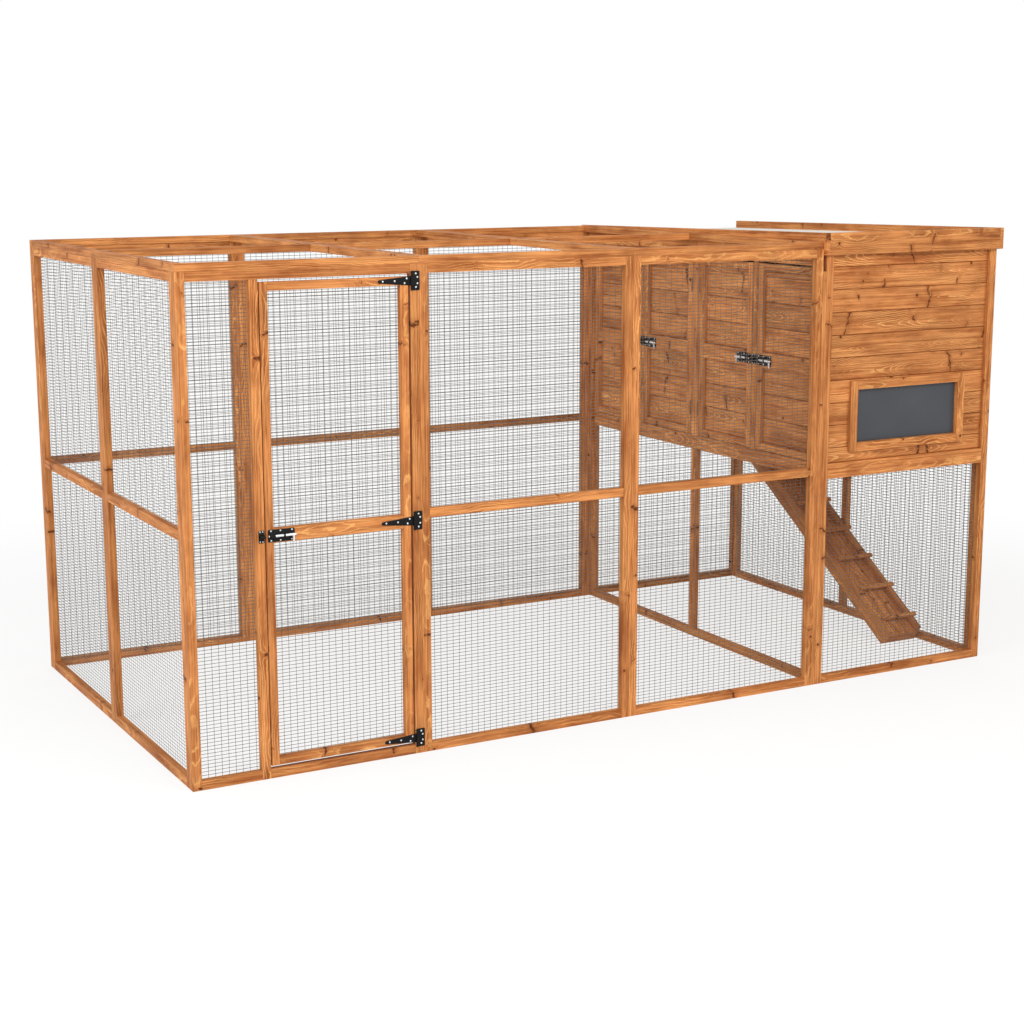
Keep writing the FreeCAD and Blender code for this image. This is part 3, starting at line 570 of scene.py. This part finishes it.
def weldmesh(node, inner, upright_radius=upright_radius, level_radius=level_radius):
    """Welded wires over each sheet of a node.

    inner gives the sign of the direction in which the level wires lie on the upright ones.
    """
    rng = random.Random(node)
    verts, faces = [], []
    for faces_of in solids(node):
        low, high = solid_box(faces_of)
        thin = 0 if high.x - low.x < high.y - low.y else 1
        side, out = (Y, X) if thin == 0 else (X, Y)
        sign = inner(low, high)
        base = low.copy()
        base[thin] = (low[thin] if sign > 0 else high[thin]) + sign * upright_radius
        front = out * sign * (upright_radius + level_radius) * weld_depth
        width = (high - low).dot(side)
        height = high.z - low.z
        for place in row(rng, width, upright_pitch, upright_jitter):
            wire(verts, faces, base + side * place, Z, height, side, out, upright_radius)
        for place in row(rng, height, level_pitch, level_jitter):
            wire(verts, faces, base + Z * place + front, side, width, Z, out, level_radius)
    mesh = bpy.data.meshes.new(node + "_wires")
    mesh.from_pydata(verts, [], faces)
    mesh.polygons.foreach_set("use_smooth", [True] * len(faces))
    add_mesh(node + "_wires", mesh, body_of(node), [wire_mat], node, slot="weldmesh")


weldmesh("left_mesh_sheets", lambda low, high: 1, left_upright_radius, left_level_radius)
weldmesh("front_mesh_sheets", lambda low, high: 1)
weldmesh("walk_in_door_mesh", lambda low, high: 1)
weldmesh("back_mesh_sheets", lambda low, high: -1)
weldmesh("hutch_mesh_sheets", lambda low, high: 1 if high.y < hutch_front_y else -1)


# Ironmongery, built in a local frame and placed by a matrix. Its meshes have three materials.
# The third material is the painted shade of the screw heads' cross recesses
steel, zinc, painted_recess_shade = 0, 1, 2


def axes(origin, x_axis, z_axis):
    y_axis = z_axis.cross(x_axis)
    rotation = Matrix((x_axis, y_axis, z_axis)).transposed().to_4x4()
    return Matrix.Translation(origin) @ rotation


def rounded(x0, x1, y0, y1, radius, steps=4):
    """The outline of a rectangle with rounded corners."""
    points = []
    for cx, cy, start in ((x1 - radius, y1 - radius, 0), (x0 + radius, y1 - radius, 90),
                          (x0 + radius, y0 + radius, 180), (x1 - radius, y0 + radius, 270)):
        for k in range(steps + 1):
            turn = math.radians(start + 90 * k / steps)
            points.append((cx + radius * math.cos(turn), cy + radius * math.sin(turn)))
    return points


def merge(bm, part, matrix, index):
    """Adds a part to a bmesh, in its place and with the material of that index."""
    lift = {v: bm.verts.new(matrix @ v.co) for v in part.verts}
    for face in part.faces:
        made = bm.faces.new([lift[v] for v in face.verts])
        made.material_index = index
        made.smooth = True
    part.free()


def slab(bm, outline, z0, z1, matrix, ease=0.3 * mm, index=steel):
    """A plate of any outline with eased edges."""
    part = bmesh.new()
    base = part.faces.new([part.verts.new((x, y, z0)) for x, y in outline])
    lifted = bmesh.ops.extrude_face_region(part, geom=[base])
    tops = [v for v in lifted["geom"] if isinstance(v, bmesh.types.BMVert)]
    bmesh.ops.translate(part, verts=tops, vec=(0, 0, z1 - z0))
    bmesh.ops.recalc_face_normals(part, faces=part.faces)
    if ease:
        sharp = [e for e in part.edges if e.calc_face_angle(0.0) > steel_edge_angle]
        bmesh.ops.bevel(part, geom=sharp, offset=ease, segments=2, profile=bevel_profile,
                        affect="EDGES", clamp_overlap=True)
    merge(bm, part, matrix, index)


def skin(part, rings):
    """Faces between rings of corners, from each to the next."""
    for one, two in zip(rings, rings[1:]):
        for k in range(len(one)):
            after = (k + 1) % len(one)
            part.faces.new((one[k], one[after], two[after], two[k]))


tube_end_inset = 0.3
tube_end_share = 0.72


def tube(bm, points, radius, matrix, sides, index=steel):
    """A round bar along a path, with chamfered ends."""
    part = bmesh.new()
    path = [Vector(p) for p in points]
    inset, narrow = radius * tube_end_inset, radius * tube_end_share
    loops, a = [], None
    for i, centre in enumerate(path):
        way = (path[min(i + 1, len(path) - 1)] - path[max(i - 1, 0)]).normalized()
        if a is None:
            a = way.orthogonal().normalized()
        a = (a - way * a.dot(way)).normalized()
        b = way.cross(a)
        if i == 0:
            loops += [(centre, a, b, narrow), (centre + way * inset, a, b, radius)]
        elif i == len(path) - 1:
            loops += [(centre - way * inset, a, b, radius), (centre, a, b, narrow)]
        else:
            loops.append((centre, a, b, radius))
    rings = [[part.verts.new(centre + (a * math.cos(t) + b * math.sin(t)) * r)
              for t in circle(sides)] for centre, a, b, r in loops]
    skin(part, rings)
    part.faces.new(rings[0][::-1])
    part.faces.new(rings[-1])
    bmesh.ops.recalc_face_normals(part, faces=part.faces)
    merge(bm, part, matrix, index)


# Screws, in shares of a head's radius
screw_profile = ((1.0, 0.0), (0.96, 0.3), (0.8, 0.62), (0.5, 0.86))
screw_dome = 0.42
screw_cross_height = 0.372
screw_cross = (0.42, 0.09)
screw_sides = 12


def screw(bm, x, y, z, matrix, radius):
    """A domed cross-head screw; its cross is a near-black plate, painted shade of the recess."""
    part = bmesh.new()
    rings = [[part.verts.new((x + radius * share * math.cos(t), y + radius * share * math.sin(t),
                              z + height * radius * screw_dome)) for t in circle(screw_sides)]
             for share, height in screw_profile]
    skin(part, rings)
    part.faces.new(rings[-1])
    merge(bm, part, matrix, zinc)
    top = z + radius * screw_cross_height
    arm, half = (radius * share for share in screw_cross)
    for a, b in ((arm, half), (half, arm)):
        cross = [(x - a, y - b), (x + a, y - b), (x + a, y + b), (x - a, y + b)]
        slab(bm, cross, top - 0.2 * mm, top + 0.04 * mm, matrix, ease=0.0, index=painted_recess_shade)


def hardware(name, bm, body, slot, *replaced, mats=(black_mat, zinc_mat, recess_shade_mat)):
    mesh = bpy.data.meshes.new(name)
    bm.to_mesh(mesh)
    bm.free()
    obj = add_mesh(name, mesh, body, mats, *replaced, slot=slot)
    modifier = obj.modifiers.new("smooth", "EDGE_SPLIT")
    modifier.split_angle = steel_edge_angle


def cad_shape(groups):
    """A bmesh of solids as the CAD has them."""
    bm = bmesh.new()
    for faces in groups:
        merge(bm, welded(faces), Matrix.Identity(4), steel)
    return bm


# Tee hinges of the walk-in door, each in a frame on its pin whose X points to the post. The
# places of screws are in mm.
tee_thick = 2.5 * mm
pin_radius = 4.5 * mm
pin_lift = 4.8 * mm
pin_sides = 20
middle_knuckle = 17 * mm
outer_knuckle = 17.3 * mm
plate_start = 4.9 * mm
plate_overhang = 2 * mm
plate_corner = 3 * mm
plate_tab = 6 * mm
plate_screws = ((16.5, 25), (22.5, 12), (22.5, -10), (16.5, -23))
strap_root = -5.2 * mm
strap_tip = -124 * mm
strap_root_half = 16.6 * mm
strap_tip_radius = 6 * mm
strap_tip_turns = range(85, 276, 19)
strap_root_gap = 0.3 * mm
strap_screws = ((-19, 8.6), (-27.5, -7.6), (-66, 0.5), (-112, 0.5))
tee_screw_radius = 3.4 * mm

plate_bm = bmesh.new()
strap_bm = bmesh.new()
door_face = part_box("walk_in_door_frame")[0].y
for faces in solids("tee_hinge_plates"):
    low, high = solid_box(faces)
    centre = (low.z + high.z) / 2
    half = (high.z - low.z) / 2
    pin = low.x + pin_radius
    place = axes(Vector((pin, door_face, centre)), X, -Y)
    outline = rounded(plate_start, high.x - pin + plate_overhang, -half, half, plate_corner)
    slab(plate_bm, outline, 0, tee_thick, place)
    for y0, y1 in ((-half, -outer_knuckle), (outer_knuckle, half)):
        slab(plate_bm, [(0, y0), (plate_tab, y0), (plate_tab, y1), (0, y1)], 0, tee_thick, place)
        tube(plate_bm, [(0, y0, pin_lift), (0, y1, pin_lift)], pin_radius, place, pin_sides)
    for x, y in plate_screws:
        screw(plate_bm, x * mm, y * mm, tee_thick, place, tee_screw_radius)
    tube(strap_bm, [(0, -middle_knuckle, pin_lift), (0, middle_knuckle, pin_lift)], pin_radius,
         place, pin_sides)
    outline = [(strap_root, -strap_root_half), (strap_root, strap_root_half)]
    outline += [(strap_tip + strap_tip_radius * math.cos(t), strap_tip_radius * math.sin(t))
                for t in (math.radians(turn) for turn in strap_tip_turns)]
    slab(strap_bm, outline[::-1], 0, tee_thick, place)
    slab(strap_bm, [(strap_root, -strap_root_half), (0, -middle_knuckle), (0, middle_knuckle),
                    (strap_root, strap_root_half)], strap_root_gap, tee_thick, place)
    for x, y in strap_screws:
        screw(strap_bm, x * mm, y * mm, tee_thick, place, tee_screw_radius)
hardware("tee_hinge_plates_steel", plate_bm, body_of("tee_hinge_plates"), "black_steel",
         "tee_hinge_plates")
hardware("tee_hinge_straps_steel", strap_bm, body_of("tee_hinge_straps"), "black_steel",
         "tee_hinge_straps")


# Barrel bolts: base, rod and keeper share a frame whose X points to the keeper. The places of
# guides and screws along it, and the handle's path in Y and Z, are in mm.
bolt_thick = 1.5 * mm
bolt_length = 100 * mm
rod_lift = 8 * mm
rod_radius = 4.5 * mm
rod_ends = (-103 * mm, -1 * mm)
rod_sides = 20
handle_place = -94 * mm
handle_radius = 3.5 * mm
handle_sides = 14
handle_path = ((0, 0), (10, 0.4), (20, 0.2), (28, 0))
guides = ((-25, -2), (-62, -56))
bore_radius = 4.7 * mm
arch_steps = 12
arch_foot = 2.4 * mm
arch_neck = 3.2 * mm
arch_ease = 0.2 * mm
base_corner = 4 * mm
base_screws = (-12, -47, -90)
base_screw_inset = 5 * mm
base_screw_radius = 3 * mm
keeper_half = 22 * mm
keeper_corner = 2.5 * mm
keeper_arch_inset = 0.5 * mm
keeper_arch_half = 13 * mm
keeper_arch_top = 15.3 * mm
wide_keeper = 18 * mm
keeper_screws = (-17.5, 17.5)
keeper_screw_radius = 2.4 * mm
keeper_solids = 4


def arch(bm, x0, x1, matrix, half=10 * mm, top=14.7 * mm):
    """A pressed strap over the rod, from one side of the plate to the other."""
    outer, inner = [], []
    outer_radius = top - rod_lift
    for k in range(arch_steps + 1):
        turn = math.radians(180 - 180 / arch_steps * k)
        outer.append((outer_radius * math.cos(turn), rod_lift + outer_radius * math.sin(turn)))
        inner.append((bore_radius * math.cos(turn), rod_lift + bore_radius * math.sin(turn)))
    outer = [(-half, bolt_thick), (-half, arch_foot), (outer[0][0], arch_neck)] + outer
    outer += [(outer[-1][0], arch_neck), (half, arch_foot), (half, bolt_thick)]
    inner = [(-bore_radius, bolt_thick)] + inner + [(bore_radius, bolt_thick)]
    turned = matrix @ Matrix(((0, 0, 1, 0), (1, 0, 0, 0), (0, 1, 0, 0), (0, 0, 0, 1)))
    slab(bm, outer + inner[::-1], x0, x1, turned, ease=arch_ease)


def bolt_base(matrix, half):
    bm = bmesh.new()
    slab(bm, rounded(-bolt_length, 0, -half, half, base_corner), 0, bolt_thick, matrix)
    for x0, x1 in guides:
        arch(bm, x0 * mm, x1 * mm, matrix)
    for x in base_screws:
        for y in (base_screw_inset - half, half - base_screw_inset):
            screw(bm, x * mm, y, bolt_thick, matrix, base_screw_radius)
    return bm


def bolt_rod(matrix, down):
    """The rod and its handle, which hangs on the side of Y that down gives."""
    bm = bmesh.new()
    tube(bm, [(end, 0, rod_lift) for end in rod_ends], rod_radius, matrix, rod_sides, zinc)
    path = [(handle_place, down * y * mm, rod_lift + z * mm) for y, z in handle_path]
    tube(bm, path, handle_radius, matrix, handle_sides, zinc)
    return bm


def keeper(bm, matrix, width):
    slab(bm, rounded(0, width, -keeper_half, keeper_half, keeper_corner), 0, bolt_thick, matrix)
    arch(bm, keeper_arch_inset, width - keeper_arch_inset, matrix, keeper_arch_half,
         keeper_arch_top)
    shares = (0.27, 0.73) if width > wide_keeper else (0.5,)
    for y in keeper_screws:
        for share in shares:
            screw(bm, share * width, y * mm, bolt_thick, matrix, keeper_screw_radius)


low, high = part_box("walk_in_bolt_base")
place = axes(Vector((low.x, high.y, (low.z + high.z) / 2)), -X, -Y)
hardware("walk_in_bolt_base_steel", bolt_base(place, (high.z - low.z) / 2),
         body_of("walk_in_bolt_base"), "black_steel", "walk_in_bolt_base")
hardware("walk_in_bolt_rod_steel", bolt_rod(place, 1), body_of("walk_in_bolt_rod"), "zinc",
         "walk_in_bolt_rod")

for number in door_numbers:
    side = 1 if number % 2 else -1
    label = "hutch_door_%d" % number
    ironmongery = label + "_hinges_and_bolt"
    plate, *leaves = solids(ironmongery)
    low, high = solid_box(plate)
    end = high.y if side > 0 else low.y
    place = axes(Vector((high.x, end, (low.z + high.z) / 2)), Y * side, -X)
    hardware(label + "_bolt_steel", bolt_base(place, (high.z - low.z) / 2),
             body_of(ironmongery), "black_steel", ironmongery)
    hardware(label + "_hinge_leaves_steel", cad_shape(leaves), body_of(ironmongery),
             "black_steel", mats=(brown_mat,))
    hardware(label + "_bolt_rod_steel", bolt_rod(place, side), body_of(label + "_bolt_rod"),
             "zinc", label + "_bolt_rod")

keepers = bmesh.new()
groups = solids("bolt_keepers")
for k in range(0, len(groups), keeper_solids):
    low, high = solid_box([face for group in groups[k:k + keeper_solids] for face in group])
    middle = (low.z + high.z) / 2
    if high.x - low.x > high.y - low.y:
        place = axes(Vector((high.x, high.y, middle)), -X, -Y)
        keeper(keepers, place, high.x - low.x)
    else:
        shot_to_back = (k // keeper_solids) % 2
        start, way = (low.y, Y) if shot_to_back else (high.y, -Y)
        place = axes(Vector((high.x, start, middle)), way, -X)
        keeper(keepers, place, high.y - low.y)
hardware("bolt_keepers_steel", keepers, body_of("bolt_keepers"), "black_steel", "bolt_keepers")

for node, material, slot in (("hutch_hinge_post_leaves", brown_mat, "black_steel"),
                             ("bearer_hinge_leaf", zinc_mat, "zinc"),
                             ("ramp_hinge_leaf", zinc_mat, "zinc")):
    hardware(node + "_steel", cad_shape(solids(node)), body_of(node), slot, node,
             mats=(material,))


# Sheets that keep their CAD shape
for node, material, slot in (("roof_felt", felt_mat, "felt"), ("window_pane", pane_mat, "pane")):
    obj = nodes[node]
    obj.data.materials.clear()
    obj.data.materials.append(material)


# Studio: white floor and surroundings, soft light, and the photo's camera
floor_reach = 60.0
glow_radii = (2.4, 4.6)
glow_shares = (0.74, 1.0)
ambient_colour = (1.0, 0.99, 0.98, 1)
ambient_strength = 0.65
white = (1, 1, 1, 1)

floor_mesh = bpy.data.meshes.new("studio_floor")
corners = [(-1, -1), (1, -1), (1, 1), (-1, 1)]
floor_mesh.from_pydata([(x * floor_reach, y * floor_reach, 0) for x, y in corners], [],
                       [(0, 1, 2, 3)])
floor = bpy.data.objects.new("studio_floor", floor_mesh)
scene.collection.objects.link(floor)
s = Shade("studio_white")
place = s.object_place()
distance = s.add("ShaderNodeVectorMath", {0: place}, operation="LENGTH").outputs["Value"]
faint = s.mix(s.noise(place, 3.0, 3.0), (0.93, 0.93, 0.93, 1), (0.945, 0.945, 0.945, 1))
away = s.spread(distance, *glow_radii, *glow_shares, "SMOOTHSTEP")
matt = s.add("ShaderNodeBsdfDiffuse", {"Color": faint})
glow = s.add("ShaderNodeEmission", {"Color": white, "Strength": 1.0})
s.show(s.math("MULTIPLY", s.seen_directly(), away), matt, glow)
floor_mesh.materials.append(s.owner)

world = bpy.data.worlds.new("studio_world")
scene.world = world
sky = Tree(world, "ShaderNodeOutputWorld")
ambient = sky.add("ShaderNodeBackground", {0: ambient_colour, 1: ambient_strength})
sky.show(sky.seen_directly(), ambient, sky.add("ShaderNodeBackground", {0: white, 1: 1.0}))


def lamp(name, place, target, size, power, colour):
    data = bpy.data.lights.new(name, "AREA")
    data.shape = "RECTANGLE"
    data.size, data.size_y = size
    data.energy = power
    data.color = colour
    obj = bpy.data.objects.new(name, data)
    obj.location = place
    obj.rotation_euler = (Vector(target) - Vector(place)).to_track_quat("-Z", "Y").to_euler()
    scene.collection.objects.link(obj)


lamp("strip", place=(-0.6, -6.2, 4.6), target=(0.3, -0.6, 0.8), size=(9.0, 2.4), power=290,
     colour=(1.0, 0.985, 0.96))
lamp("side", place=(-7.5, -2.0, 4.5), target=(0.0, 0, 0.9), size=(5.0, 4.0), power=285,
     colour=(0.9, 0.96, 1.0))

# The camera solved from the photo's panel joints and corners
camera_place = (-3.8134646, -6.8857882, 2.2118884)
right = Vector((0.8762041774, -0.4819355237, -0.0020953435))
down = Vector((-0.0949956146, -0.1684452816, -0.9811228365))
ahead = Vector((0.4724849973, 0.8598629763, -0.1933742206))
camera_data = bpy.data.cameras.new("camera")
camera_data.lens = 65.489
camera_data.sensor_width = 36.0
camera_data.clip_end = 200.0
camera = bpy.data.objects.new("camera", camera_data)
camera.matrix_world = (Matrix.Translation(camera_place)
                       @ Matrix((right, -down, -ahead)).transposed().to_4x4())
scene.collection.objects.link(camera)
scene.camera = camera
scene.view_settings.view_transform = "Standard"
